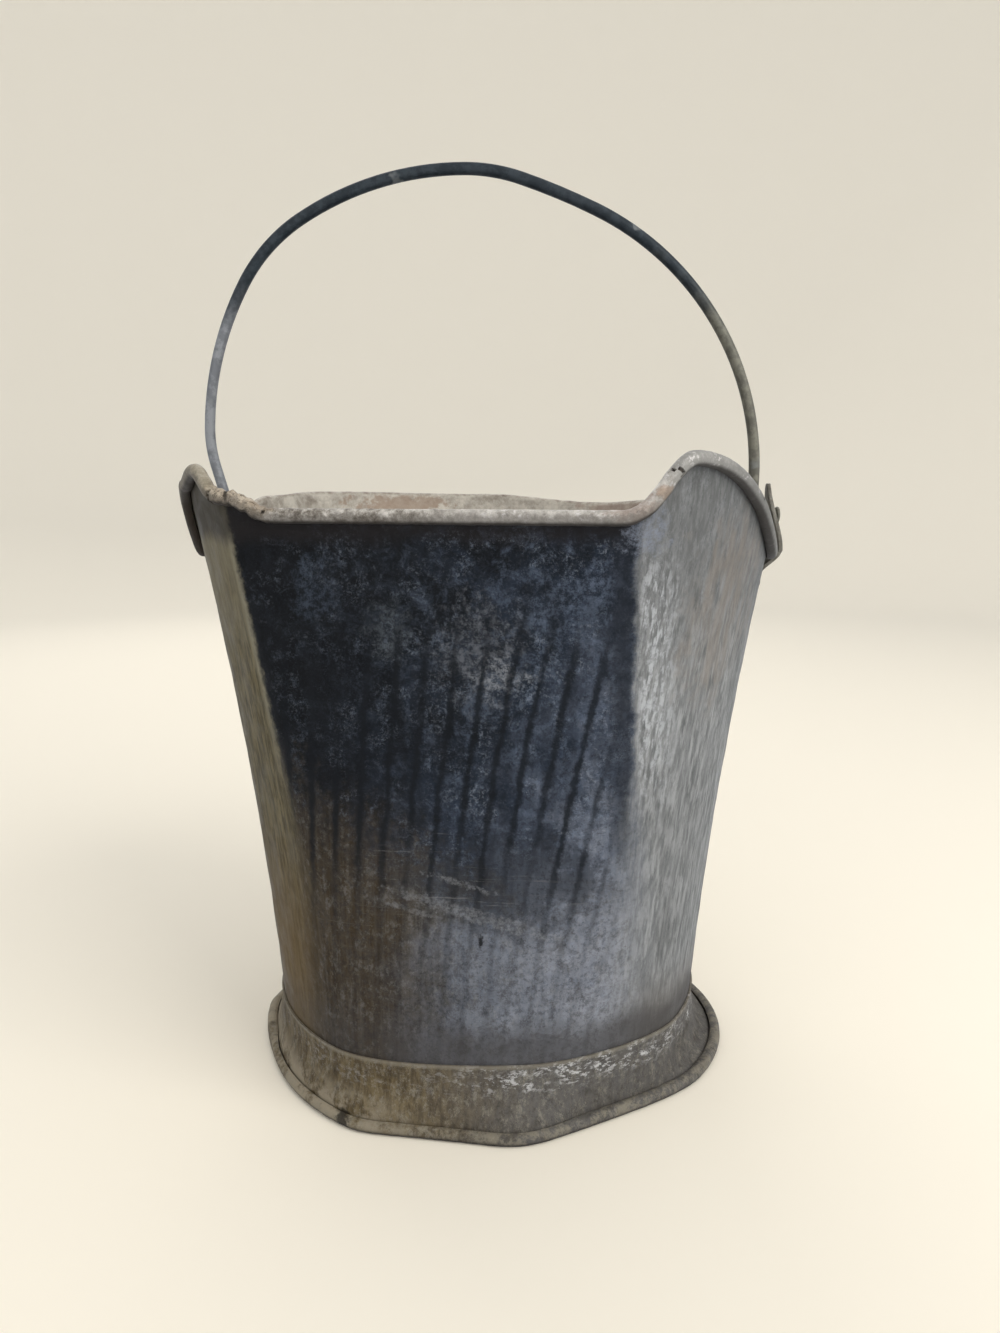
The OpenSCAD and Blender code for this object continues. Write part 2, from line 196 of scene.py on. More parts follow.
def wall_r(a, z):
    """Outside radius of the crushed body at azimuth a and height z, in millimetres."""
    t = height_part(z)
    crush = mix(104, 115.5, max(t, 0) * t) - 4.1 * dish(t)
    low = 1 - clamp(t)
    pressed = soft_min(round_r(z), flat_r(a, 270 - 12 * t, crush), mix(4, 24, low * low))
    return soft_min(pressed, flat_r(a, 298, round_r(z) + 6 * (t / 0.35 - 1)), 10)


def wall_out(a, z):
    p, q = wall_r(a - 1, z), wall_r(a + 1, z)
    dx, dy = q * cosd(a + 1) - p * cosd(a - 1), q * sind(a + 1) - p * sind(a - 1)
    return Vector((dy, -dx, 0)).normalized()


def on_wall(a, z, inset=0.0):
    r = wall_r(a, z)
    return Vector((r * cosd(a), r * sind(a), z)) - inset * wall_out(a, z)


def roll_z(a):
    """Height of the middle of the roll at azimuth a."""
    b = a % 360
    for (a0, h0), (a1, h1) in zip(rim_line, rim_line[1:]):
        if a0 <= b <= a1:
            return rim_z + mix(h0, h1, ease((b - a0) / (a1 - a0))) - roll_out
    return rim_z - roll_out


def roll_frame(a, inset):
    """Middle of the roll at azimuth a, with its outward and upward directions."""
    zc = roll_z(a)
    out = wall_out(a, zc)
    along = on_wall(a + 1, roll_z(a + 1)) - on_wall(a - 1, roll_z(a - 1))
    up = out.cross(along).normalized()
    return on_wall(a, zc, inset) + roll_in * out, out, up


def rolled_sheet(a, v, side, inset, frames={}):
    """A point of a rolled sheet: v runs 0 to 1 up the wall and 1 to 2 round the curl."""
    if v <= 1:
        return on_wall(a, mix(body_low, roll_z(a), v), inset + side * sheet_t)
    key = (a, inset)
    if key not in frames:
        frames[key] = roll_frame(a, inset)
    centre, out, up = frames[key]
    w = 180 - curl_sweep * (v - 1)
    return centre + (roll_in + side * sheet_t) * (cosd(w) * out + sind(w) * up)


def pressed(columns, rows, place, cut=None, marks=None):
    """A flat grid with its torn parts taken out, given its second face and pressed to shape.
    columns and rows are lists of stations; place(column, row, side) gives a point in mm."""
    bm = bmesh.new()
    bmesh.ops.create_grid(bm, x_segments=len(columns) - 1, y_segments=len(rows) - 1, size=1)
    at_column = bm.verts.layers.float.new("at_column")
    at_row = bm.verts.layers.float.new("at_row")
    inner = bm.verts.layers.float.new("inner")
    for v in bm.verts:
        v[at_column] = columns[round((v.co.x + 1) / 2 * (len(columns) - 1))]
        v[at_row] = rows[round((v.co.y + 1) / 2 * (len(rows) - 1))]
    if cut:
        torn = [f for f in bm.faces
                if cut(sum(v[at_column] for v in f.verts) / 4, sum(v[at_row] for v in f.verts) / 4)]
        bmesh.ops.delete(bm, geom=torn, context="FACES")
    for v in bm.verts:
        v.co = place(v[at_column], v[at_row], 0) * MM
    bmesh.ops.remove_doubles(bm, verts=bm.verts, dist=1e-7)
    second = bmesh.ops.extrude_face_region(bm, geom=bm.faces[:])["geom"]
    for v in second:
        if isinstance(v, bmesh.types.BMVert):
            v[inner] = 1.0
            v.co = place(v[at_column], v[at_row], 1) * MM
    bmesh.ops.recalc_face_normals(bm, faces=bm.faces)
    for name, measure in (marks or {}).items():
        layer = bm.verts.layers.float.new(name)
        for v in bm.verts:
            v[layer] = measure(v[at_column], v[at_row], v.co)
    return bm


def finish_piece(name, bm, material, nodes, body="bucket", sharp=40):
    """Makes the mesh a piece of the object, in place of the plain nodes."""
    data = bpy.data.meshes.new(name)
    bm.to_mesh(data)
    bm.free()
    data.shade_smooth()
    data.set_sharp_from_angle(angle=math.radians(sharp))
    piece = bpy.data.objects.new(name, data)
    scene.collection.objects.link(piece)
    data.materials.append(material)
    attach(piece, body)
    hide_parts(*nodes)
    return piece


def spread(*stretches):
    """Stations from stretches of (start, end, step), the last end included."""
    stations = []
    for start, end, step in stretches:
        count = max(1, round((end - start) / step))
        stations += [mix(start, end, i / count) for i in range(count)]
    return stations + [stretches[-1][1]]


lap_half = math.degrees(math.asin(11 / rim_r))


def front_shape(a, v, side):
    """The pressed front sheet with its small dents, its crumpled corners and its bent roll."""
    p = rolled_sheet(a, v, side, 0.0)
    out = wall_out(a, min(p.z, rim_z))
    flat = clamp((a - 214) / 14) * clamp((308 - a) / 14)
    low = clamp((p.z - 36) / 22) * clamp((roll_z(a) - 5 - p.z) / 18)
    dents = 0.9 * flat * low * (1 + noise.noise(p * 0.035)) + 0.25 * low * noise.noise(p * 0.11)
    p -= out * dents
    if v > 1:
        rough = 0.35 * noise.noise(Vector((a * 0.9, v * 1.4, 3.0)))
        for middle, width, depth in ((223, 7.0, 3.2), (299, 3.0, 1.3)):
            near = clamp(1 - abs(a - middle) / width)
            rough += near * depth * noise.noise(Vector((a * 1.1, v * 4.0, 8.0)))
        p += Vector((0, 0, 1)) * rough * 0.6 - out * (0.24 + abs(rough) * 0.5)
    return p


def front_cut(a, v):
    """Where the sheet is cut short under the ears, split or cracked."""
    if v > 1 or mix(body_low, roll_z(a), v) > ear_roll_z - roll_out - 1:
        y = rim_r * sind(a)
        if (a > 270 and y > -2.5) or (a < 270 and y > -14):
            return True
    if v < 1:
        return False
    left_crack = abs(a - 219.4 - 0.5 * math.sin(7 * v)) < 0.3 and 1.12 < v < 1.95
    left_hole = abs(a - 227.4) < 0.45 and 1.44 < v < 1.56
    corner_crack = abs(a - 300.2 - 0.4 * math.sin(9 * v)) < 0.25 and 1.28 < v < 1.7
    lip_split = 307 < a < 325 and abs(v - 1.35 - 0.02 * math.sin(a)) < 0.04
    cross_crack = abs(a - 321.5 - 0.6 * math.sin(5 * v)) < 0.3 and 1.15 < v < 1.62
    return left_crack or left_hole or corner_crack or lip_split or cross_crack


def left_of_crease(a, v, co):
    return mix(-0.0835, -0.109, clamp((co.z - 0.12) / 0.165)) - co.x


def right_of_crease(a, v, co):
    return co.x - mix(0.0665, 0.061, clamp((co.z - 0.12) / 0.16))


front_mesh = pressed(
    spread((180 - lap_half, 205, 0.9), (205, 232, 0.36), (232, 286, 0.8), (286, 310, 0.4),
           (310, 360 + lap_half, 0.8)),
    spread((0, 1, 1 / 84), (1, 2, 0.05)), front_shape, front_cut,
    {"left": left_of_crease, "right": right_of_crease, "curl": lambda a, v, co: max(0, v - 1)})


def sums(tree, operation, first, second=0.0):
    return put(tree, "ShaderNodeMath", {0: first, 1: second}, operation=operation).outputs[0]


def times(tree, first, second):
    return sums(tree, "MULTIPLY", first, second)


def plus(tree, first, second):
    return sums(tree, "ADD", first, second)


def minus(tree, first, second):
    return sums(tree, "SUBTRACT", first, second)


def places(tree):
    """The place on the object in metres, as a vector and as its x, y and z."""
    where = put(tree, "ShaderNodeTexCoord").outputs["Object"]
    parts = put(tree, "ShaderNodeSeparateXYZ", {0: where}).outputs
    return where, parts["X"], parts["Y"], parts["Z"]


def between(tree, value, low, high, start=0.0, end=1.0):
    """A smooth step from start to end while value goes from low to high."""
    return put(tree, "ShaderNodeMapRange", {"Value": value, "From Min": low, "From Max": high,
        "To Min": start, "To Max": end}, interpolation_type="SMOOTHSTEP").outputs["Result"]


def laid_over(tree, amount, under, over):
    """Colour over, laid on colour under where amount is 1."""
    return put(tree, "ShaderNodeMix", {0: amount, 6: under, 7: over}, data_type="RGBA").outputs[2]


def cloud(tree, where, scale, detail=4.0, rough=0.6, stretch=None, drift=0.0):
    """Noise from about 0.3 to 0.7; stretch makes it longer along an axis."""
    if stretch:
        where = put(tree, "ShaderNodeMapping", {"Vector": where, "Scale": stretch}).outputs[0]
    return put(tree, "ShaderNodeTexNoise", {"Vector": where, "Scale": scale, "Detail": detail,
        "Roughness": rough, "Distortion": drift}).outputs[0]


def new_group(name, inputs, outputs):
    """An empty node group with named sockets, as (group, its inputs, its output node)."""
    group = bpy.data.node_groups.new(name, "ShaderNodeTree")
    for label, kind, value in inputs:
        socket = group.interface.new_socket(name=label, in_out="INPUT", socket_type=kind)
        if value is not None:
            socket.default_value = value
    for label, kind in outputs:
        group.interface.new_socket(name=label, in_out="OUTPUT", socket_type=kind)
    return group, group.nodes.new("NodeGroupInput").outputs, group.nodes.new("NodeGroupOutput")


FLOAT, VECTOR = "NodeSocketFloat", "NodeSocketVector"

# Fine specks of bloom gathered in clusters, as on old zinc
specks, g, g_out = new_group("zinc_specks", [("Vector", VECTOR, None),
    ("Speck Scale", FLOAT, 700.0), ("Cluster Scale", FLOAT, 60.0), ("Cover", FLOAT, 0.5)],
    [("Mask", FLOAT)])
fine = cloud(specks, g["Vector"], g["Speck Scale"], 3.0, 0.75)
cluster = cloud(specks, g["Vector"], g["Cluster Scale"], 6.0, 0.65, drift=1.2)
spare = minus(specks, 0.5, g["Cover"])
speck = between(specks, minus(specks, fine, times(specks, spare, 0.2)), 0.5, 0.62)
gathered = between(specks, minus(specks, cluster, times(specks, spare, 0.3)),
                   0.46, 0.62, 0.12)
found = times(specks, speck, gathered)
specks.links.new(found, g_out.inputs["Mask"])

# Upright rub marks and run marks, long down the wall and narrow across it
streaks, g, g_out = new_group("upright_streaks",
    [("Vector", VECTOR, None), ("Scale", FLOAT, 260.0), ("Length", FLOAT, 18.0),
    ("Contrast", FLOAT, 0.12)], [("Mask", FLOAT)])
squeezed = put(streaks, "ShaderNodeVectorMath", {0: g["Vector"], 1: put(
    streaks, "ShaderNodeCombineXYZ", {"X": 1.0, "Y": 1.0,
                                      "Z": sums(streaks, "DIVIDE", 1.0, g["Length"])}).outputs[0]},
    operation="MULTIPLY").outputs[0]
drawn = cloud(streaks, squeezed, g["Scale"], 5.0, 0.62)
found = between(streaks, drawn, minus(streaks, 0.5, g["Contrast"]),
                plus(streaks, 0.5, g["Contrast"]))
streaks.links.new(found, g_out.inputs["Mask"])

# One ragged patch at a given place, such as a stain, a rubbed spot or a bloom of rust
patch, g, g_out = new_group("ragged_patch", [("Vector", VECTOR, None), ("Centre", VECTOR, None),
    ("Reach", VECTOR, None), ("Ragged", FLOAT, 0.6), ("Grain", FLOAT, 160.0)], [("Mask", FLOAT)])
offset = put(patch, "ShaderNodeVectorMath", {0: put(patch, "ShaderNodeVectorMath",
    {0: g["Vector"], 1: g["Centre"]}, operation="SUBTRACT").outputs[0], 1: g["Reach"]},
    operation="DIVIDE").outputs[0]
away = put(patch, "ShaderNodeVectorMath", {0: offset}, operation="LENGTH").outputs["Value"]
edge = times(patch, minus(patch, cloud(patch, g["Vector"], g["Grain"], 5.0, 0.7),
                                    0.5), times(patch, g["Ragged"], 3.0))
found = between(patch, plus(patch, away, edge), 1.15, 0.55)
patch.links.new(found, g_out.inputs["Mask"])

# The uneven skin of a weathered coating: soft waves, grain and small pits, as a height
skin, g, g_out = new_group("weathered_skin", [("Vector", VECTOR, None), ("Grain", FLOAT, 900.0),
                           ("Pits", FLOAT, 0.5)], [("Height", FLOAT)])
waves = cloud(skin, g["Vector"], 90.0, 4.0, 0.6)
grain = cloud(skin, g["Vector"], g["Grain"], 3.0, 0.7)
pit = between(skin, cloud(skin, g["Vector"], 330.0, 2.0, 0.5), 0.66, 0.58)
height = plus(skin, times(skin, waves, 0.9),
              plus(skin, times(skin, grain, 0.35),
                   times(skin, times(skin, pit, g["Pits"]), 0.6)))
skin.links.new(height, g_out.inputs["Height"])


def placed(tree, group, **feeds):
    """A node group in a material's tree, as its first output."""
    return put(tree, "ShaderNodeGroup", {name.replace("_", " "): value for name,
        value in feeds.items()}, node_tree=group).outputs[0]


def patch_at(tree, where, centre, reach, ragged=0.6, grain=160.0):
    return placed(tree, patch, Vector=where, Centre=centre, Reach=reach, Ragged=ragged, Grain=grain)


def give_skin(tree, shader, where, grain=900.0, pits=0.5, strength=0.35, reach=0.0006):
    height = placed(tree, skin, Vector=where, Grain=grain, Pits=pits)
    bump = put(tree, "ShaderNodeBump", {"Strength": strength, "Distance": reach, "Height": height})
    tree.links.new(bump.outputs[0], shader.inputs["Normal"])


def colour_steps(tree, value, stops):
    """A colour ramp through (place, colour) stops."""
    ramp = put(tree, "ShaderNodeValToRGB", {0: value})
    ramp.color_ramp.elements[0].position, ramp.color_ramp.elements[0].color = stops[0]
    ramp.color_ramp.elements[1].position, ramp.color_ramp.elements[1].color = stops[-1]
    for place, colour in stops[1:-1]:
        ramp.color_ramp.elements.new(place).color = colour
    return ramp.outputs[0]


def attribute(tree, name):
    return put(tree, "ShaderNodeAttribute", attribute_name=name).outputs["Fac"]


stained, tree, shader = new_material("stained_zinc", metallic=0.2, specular=0.14)
where, x, y, z = places(tree)
wander = minus(tree, cloud(tree, where, 38.0, 6.0, 0.65), 0.5)
ragged = minus(tree, cloud(tree, where, 240.0, 5.0, 0.7), 0.5)

# the dark panel goes from near black at the upper left to pale blue-grey at the lower right: its
# dark patina together with a painted reflection of the darker room
fall = plus(tree, x, times(tree, minus(tree, 0.17, z), 0.55))
fall = plus(tree, fall, plus(tree, times(tree, wander, 0.16), times(tree, ragged, 0.05)))
fall = sums(tree, "DIVIDE", plus(tree, fall, 0.12), 0.24)
panel = colour_steps(tree, fall, [
    (0.0, tone(8, 10, 12)), (0.30, tone(11, 15, 20)), (0.5, tone(30, 37, 47)),
    (0.63, tone(64, 70, 81)), (0.77, tone(104, 109, 119)), (1.0, tone(152, 155, 163))])
low = minus(tree, plus(tree, z, times(tree, wander, 0.07)),
    times(tree, sums(tree, "MAXIMUM", times(tree, x, -1.0), 0.0), 0.5))
low = plus(tree, low, times(tree, ragged, 0.09))
low = times(tree, between(tree, low, 0.140, 0.092), 0.8)
low_panel = colour_steps(tree, fall, [
    (0.0, tone(50, 39, 23)), (0.40, tone(64, 55, 41)), (0.52, tone(84, 81, 77)),
    (0.66, tone(108, 111, 118)), (0.80, tone(130, 133, 140)), (1.0, tone(152, 154, 159))])
panel = laid_over(tree, low, panel, low_panel)
warm = times(tree, between(tree, x, -0.005, -0.055), between(tree, z, 0.18, 0.09))
panel = laid_over(tree, times(tree, warm, 0.8), panel, tone(63, 49, 24))
cool = minus(tree, 1.0, sums(tree, "MAXIMUM", times(tree, warm, 0.8), times(tree, low, 0.75)))
haze = times(tree, between(tree, cloud(tree, where, 42.0, 7.0, 0.7, drift=1.0), 0.46, 0.66), cool)
panel = laid_over(tree, times(tree, haze, between(tree, x, -0.09, 0.05, 0.0, 0.28)), panel,
    tone(70, 82, 101))
mottle = times(tree, between(tree, cloud(tree, where, 110.0, 9.0, 0.82, drift=0.4), 0.49, 0.63),
    cool)
panel = laid_over(tree, times(tree, mottle, between(tree, x, -0.09, 0.05, 0.03, 0.45)), panel,
    tone(104, 115, 132))
bloom = times(tree, between(tree, cloud(tree, where, 270.0, 9.0, 0.92), 0.50, 0.60),
    between(tree, cloud(tree, where, 60.0, 5.0, 0.6, drift=0.8), 0.44, 0.60, 0.12))
panel = laid_over(tree, times(tree, times(tree, bloom, cool),
    between(tree, x, -0.10, 0.05, 0.2, 0.62)), panel, tone(122, 132, 146))
clusters = placed(tree, specks, Vector=where, Speck_Scale=760.0, Cluster_Scale=60.0, Cover=0.44)
panel = laid_over(tree, times(tree, times(tree, clusters, cool),
    between(tree, x, -0.10, 0.05, 0.1, 0.4)), panel, tone(158, 164, 172))
dark_grain = between(tree, cloud(tree, where, 360.0, 5.0, 0.8), 0.50, 0.60)
panel = laid_over(tree, times(tree, dark_grain, 0.42), panel, tone(18, 20, 24))
drawn = placed(tree, streaks, Vector=where, Scale=460.0, Length=20.0, Contrast=0.12)
panel = laid_over(tree, times(tree, times(tree, drawn, low), 0.1), panel, tone(152, 149, 144))
for gauge, amount, smear in ((150.0, 0.46, tone(40, 35, 30)), (85.0, 0.4, tone(62, 55, 46)),
                             (240.0, 0.28, tone(156, 154, 150))):
    grit = between(tree, cloud(tree, where, gauge, 9.0, 0.85, stretch=(1, 1, 0.7)), 0.50, 0.62)
    panel = laid_over(tree, times(tree, times(tree, grit, low), amount), panel, smear)
for centre, reach, amount, colour in (
        ((-0.001, -0.108, 0.228), (0.018, 0.03, 0.024), 0.55, tone(120, 122, 126)),
        ((0.036, -0.115, 0.248), (0.018, 0.03, 0.014), 0.5, tone(104, 114, 130)),
        ((0.006, -0.106, 0.219), (0.012, 0.03, 0.009), 0.55, tone(160, 162, 164)),
        ((-0.040, -0.104, 0.238), (0.010, 0.03, 0.014), 0.45, tone(96, 102, 106)),
        ((-0.070, -0.104, 0.255), (0.012, 0.03, 0.016), 0.4, tone(84, 94, 108)),
        ((0.052, -0.115, 0.262), (0.012, 0.03, 0.010), 0.45, tone(110, 120, 138))):
    clump = times(tree, patch_at(tree, where, centre, reach, 1.1, 130.0),
        between(tree, cloud(tree, where, 300.0, 8.0, 0.85), 0.44, 0.6, 0.05, 1.0))
    panel = laid_over(tree, times(tree, clump, amount), panel, colour)
crinkle = between(tree, cloud(tree, where, 95.0, 8.0, 0.8, drift=1.6), 0.51, 0.60)
panel = laid_over(tree, times(tree, times(tree, crinkle, low), 0.42), panel, tone(50, 46, 44))
smudge = patch_at(tree, where, (0.014, -0.1, 0.122), (0.046, 0.04, 0.026), 1.0, 60.0)
panel = laid_over(tree, times(tree, smudge, 0.55), panel, tone(38, 40, 44))

# dark run marks, leaning a little, about a finger's width apart
lean = times(tree, minus(tree, z, 0.1), plus(tree, 0.13, times(tree, x, 1.2)))
run = sums(tree, "DIVIDE", plus(tree, minus(tree, x, lean), times(tree, wander, 0.005)), 0.0106)
off = sums(tree, "ABSOLUTE", minus(tree, sums(tree, "FRACT", run), 0.5))
thin = cloud(tree, put(tree, "ShaderNodeCombineXYZ",
    {"X": sums(tree, "FLOOR", run), "Z": times(tree, z, 7.0)}).outputs[0], 1.7, 3.0)
runs = between(tree, plus(tree, off, times(tree, ragged, 0.35)), 0.22, 0.03)
runs = times(tree, runs, between(tree, thin, 0.30, 0.52, 0.2))
runs = times(tree, runs, times(tree, between(tree, z, 0.08, 0.15, 0.25),
    between(tree, z, 0.262, 0.215)))
runs = times(tree, runs, between(tree, x, 0.064, 0.045))
panel = laid_over(tree, times(tree, runs, 0.85), panel, tone(15, 18, 22))
veins = placed(tree, streaks, Vector=where, Scale=200.0, Length=30.0, Contrast=0.12)
veins = times(tree, veins, between(tree, low, 0.0, 0.8, 0.3, 0.14))
panel = laid_over(tree, veins, panel, tone(24, 26, 30))

# light scratches and slanting chafed bands low in the middle, and two dark pits
for turn, gauge, middle, reach in (
        (-12, (17.0, 17.0, 560.0), (-0.016, -0.1, 0.108), (0.070, 0.06, 0.024)),
        (-22, (34.0, 34.0, 900.0), (-0.020, -0.1, 0.122), (0.050, 0.06, 0.022))):
    turned = put(tree, "ShaderNodeMapping", {"Vector": where,
        "Rotation": (0, math.radians(turn), 0), "Scale": gauge}).outputs[0]
    scratch = between(tree, cloud(tree, turned, 1.0, 5.0, 0.7, drift=0.25), 0.60, 0.68)
    scratch = times(tree, scratch, patch_at(tree, where, middle, reach, 0.8, 60.0))
    scratch = times(tree, scratch, between(tree, ragged, -0.12, 0.06, 0.15))
    panel = laid_over(tree, times(tree, scratch, 0.3), panel, tone(146, 144, 140))
slanted = put(tree, "ShaderNodeCombineXYZ", {"X": x,
    "Z": plus(tree, z, times(tree, x, 0.29))}).outputs[0]
chafed = between(tree, cloud(tree, where, 480.0, 8.0, 0.88), 0.42, 0.58, 0.1)
for centre, reach, amount in (((-0.002, 0, 0.1065), (0.040, 1, 0.0036), 0.38),
                              ((-0.012, 0, 0.1195), (0.016, 1, 0.0018), 0.42),
                              ((-0.034, 0, 0.1000), (0.014, 1, 0.0016), 0.32)):
    band = times(tree, patch_at(tree, slanted, centre, reach, 1.2, 240.0), chafed)
    panel = laid_over(tree, times(tree, band, amount), panel, tone(142, 142, 142))
for centre, reach, amount in (((-0.0018, -0.1015, 0.0955), (0.0013, 0.01, 0.0038), 0.9),
                              ((0.0168, -0.1015, 0.0955), (0.0013, 0.01, 0.0024), 0.5)):
    panel = laid_over(tree, times(tree, patch_at(tree, where, centre, reach, 0.9, 500.0), amount),
        panel, tone(26, 25, 26))

# left of the crease: olive-grey with fine upright streaks
fine_streaks = placed(tree, streaks, Vector=where, Scale=500.0, Length=11.0, Contrast=0.12)
long_streaks = placed(tree, streaks, Vector=where, Scale=190.0, Length=9.0, Contrast=0.14)
olive = laid_over(tree, fine_streaks, tone(70, 62, 42), tone(114, 103, 74))
olive = laid_over(tree, times(tree, long_streaks, 0.5), olive, tone(90, 84, 68))
olive = laid_over(tree, between(tree, z, 0.16, 0.07, 0.0, 0.6), olive, tone(104, 82, 48))
olive = laid_over(tree, between(tree, z, 0.20, 0.27, 0.0, 0.55), olive, tone(122, 114, 92))
to_seam = between(tree, plus(tree, y, times(tree, wander, 0.05)), -0.055, 0.0, 0.0, 0.85)
olive = laid_over(tree, to_seam, olive, laid_over(tree, fine_streaks, tone(104, 101, 93),
    tone(142, 140, 133)))
# painted highlight: a thin light line along the fold edge of the crease
fold_edge_highlight = times(tree, between(tree, attribute(tree, "left"), 0.004, 0.001),
    between(tree, z, 0.15, 0.2, 0.0, 0.45))
olive = laid_over(tree, fold_edge_highlight, olive, tone(156, 150, 128))
over_left = sums(tree, "DIVIDE", plus(tree, attribute(tree, "left"), times(tree, ragged, 0.006)),
    between(tree, z, 0.20, 0.09, 0.002, 0.010))
over_left = between(tree, over_left, -1.0, 1.0)

# right of the crease: silver-grey, brushed up and down; its brightness is partly a painted
# reflection, with painted highlight streaks brightest beside the crease
silver = laid_over(tree, fine_streaks, tone(102, 103, 101), tone(156, 156, 153))
silver = laid_over(tree, times(tree, long_streaks, 0.55), silver, tone(130, 130, 128))
silver = laid_over(tree, between(tree, z, 0.205, 0.275, 0.0, 0.7), silver, tone(98, 98, 96))
gloom = between(tree, cloud(tree, where, 55.0, 6.0, 0.7, stretch=(1, 1, 0.35)), 0.50, 0.64, 0.0,
    0.45)
silver = laid_over(tree, gloom, silver, tone(92, 92, 90))
scale_marks = between(tree, cloud(tree, where, 210.0, 8.0, 0.88, stretch=(1, 1, 0.3)), 0.50, 0.60)
silver = laid_over(tree, times(tree, scale_marks, between(tree, z, 0.2, 0.26, 0.18, 0.42)), silver,
    tone(150, 151, 151))
dark_marks = between(tree, cloud(tree, where, 320.0, 7.0, 0.85, stretch=(1, 1, 0.3)), 0.52, 0.62)
silver = laid_over(tree, times(tree, dark_marks, 0.35), silver, tone(66, 66, 65))
right = attribute(tree, "right")
# painted highlight: bright streaks in a band just right of the crease
highlight_band = times(tree, times(tree, between(tree, right, 0.0, 0.004),
    between(tree, right, 0.026, 0.008)), times(tree, between(tree, z, 0.13, 0.20),
    between(tree, z, 0.285, 0.25)))
mottle_and_highlight_streaks = placed(tree, streaks, Vector=where, Scale=480.0, Length=5.0, Contrast=0.07)
mottle_and_highlight_streaks = times(tree, mottle_and_highlight_streaks, between(tree, ragged, -0.1, 0.06, 0.25))
silver = laid_over(tree, times(tree, times(tree, highlight_band, mottle_and_highlight_streaks), 0.6), silver, tone(200, 201, 201))
tan_stain = times(tree, patch_at(tree, where, (0.105, -0.09, 0.245), (0.026, 0.05, 0.045), 0.7,
    70.0), 0.45)
silver = laid_over(tree, times(tree, tan_stain, long_streaks), silver, tone(140, 128, 114))
silver = laid_over(tree, between(tree, z, 0.075, 0.04, 0.0, 0.7), silver, tone(112, 106, 99))
over_right = sums(tree, "DIVIDE", plus(tree, right,
    plus(tree, times(tree, ragged, 0.006), times(tree, wander, 0.008))),
    between(tree, z, 0.19, 0.10, 0.0022, 0.018))
over_right = between(tree, over_right, -1.0, 1.0)
# painted shade: a dark band on the panel just left of the right-hand crease
crease_shade = times(tree, times(tree, between(tree, right, -0.014, -0.006),
    between(tree, right, 0.001, -0.003)), times(tree, between(tree, z, 0.12, 0.15), 0.65))
panel = laid_over(tree, crease_shade, panel, tone(30, 33, 38))
colour = laid_over(tree, over_right, panel, silver)
colour = laid_over(tree, over_left, colour, olive)
bottom_band = times(tree, between(tree, plus(tree, z, times(tree, wander, 0.02)), 0.060, 0.042),
    between(tree, x, -0.07, -0.01, 0.25, 0.75))
colour = laid_over(tree, bottom_band, colour, tone(68, 65, 63))
# painted shadow: a dark line on the wall under the front roll
roll_shadow = between(tree, plus(tree, z, times(tree, wander, 0.015)), 0.271, 0.280)
roll_shadow = times(tree, roll_shadow, times(tree, between(tree, right, 0.006, -0.004), 0.75))
colour = laid_over(tree, roll_shadow, colour, tone(34, 30, 29))
lit_corner = times(tree, patch_at(tree, where, (0.064, -0.126, 0.280), (0.010, 0.03, 0.010), 1.2,
    160.0), between(tree, cloud(tree, where, 420.0, 8.0, 0.9), 0.42, 0.58, 0.1))
colour = laid_over(tree, times(tree, lit_corner, 0.6), colour, tone(136, 142, 154))

# the roll and the lobes: warm grey with pale bloom, and rust at the crumpled corners
curl = attribute(tree, "curl")
roll_mottle = cloud(tree, where, 190.0, 8.0, 0.85)
roll_colour = colour_steps(tree, roll_mottle,
    [(0.37, tone(78, 69, 59)), (0.48, tone(146, 139, 128)), (0.60, tone(206, 200, 190))])
roll_colour = laid_over(tree, between(tree, x, -0.045, 0.0, 0.0, 0.4), roll_colour,
    tone(218, 213, 204))
on_lobe = between(tree, x, 0.068, 0.078)
roll_colour = laid_over(tree, times(tree, on_lobe, 0.75), roll_colour, tone(138, 137, 132))
roll_colour = laid_over(tree, times(tree, placed(tree, specks, Vector=where, Speck_Scale=500.0,
    Cluster_Scale=60.0, Cover=0.5), between(tree, x, -0.03, 0.02)), roll_colour,
    tone(216, 211, 206))
roll_colour = laid_over(tree, between(tree, x, 0.085, 0.125, 0.0, 0.6), roll_colour,
    tone(108, 108, 104))
roll_colour = laid_over(tree, between(tree, x, -0.106, -0.116, 0.0, 0.65), roll_colour,
    tone(158, 148, 126))
crumple = patch_at(tree, where, (-0.103, -0.095, 0.292), (0.015, 0.03, 0.012), 0.6, 200.0)
roll_colour = laid_over(tree, times(tree, crumple, 0.65), roll_colour, tone(198, 182, 158))
fold = sums(tree, "ABSOLUTE", minus(tree, cloud(tree, where, 130.0, 4.0, 0.7, drift=1.5), 0.5))
fold = times(tree, between(tree, fold, 0.026, 0.006), crumple)
roll_colour = laid_over(tree, times(tree, fold, 0.8), roll_colour, tone(58, 46, 34))
for centre, reach, amount, rust in (
        ((0.0705, -0.131, 0.2955), (0.0035, 0.02, 0.0035), 0.5, tone(150, 116, 84)),
        ((0.060, -0.128, 0.289), (0.014, 0.02, 0.006), 0.4, tone(150, 122, 106)),
        ((-0.113, -0.088, 0.300), (0.0035, 0.02, 0.004), 0.4, tone(92, 76, 58)),
        ((-0.1075, -0.092, 0.2955), (0.0012, 0.02, 0.006), 0.9, tone(34, 27, 21)),
        ((-0.092, -0.1, 0.2895), (0.006, 0.02, 0.003), 0.4, tone(104, 84, 62))):
    roll_colour = laid_over(tree, times(tree, patch_at(tree, where, centre, reach, 0.8, 300.0),
        amount), roll_colour, rust)
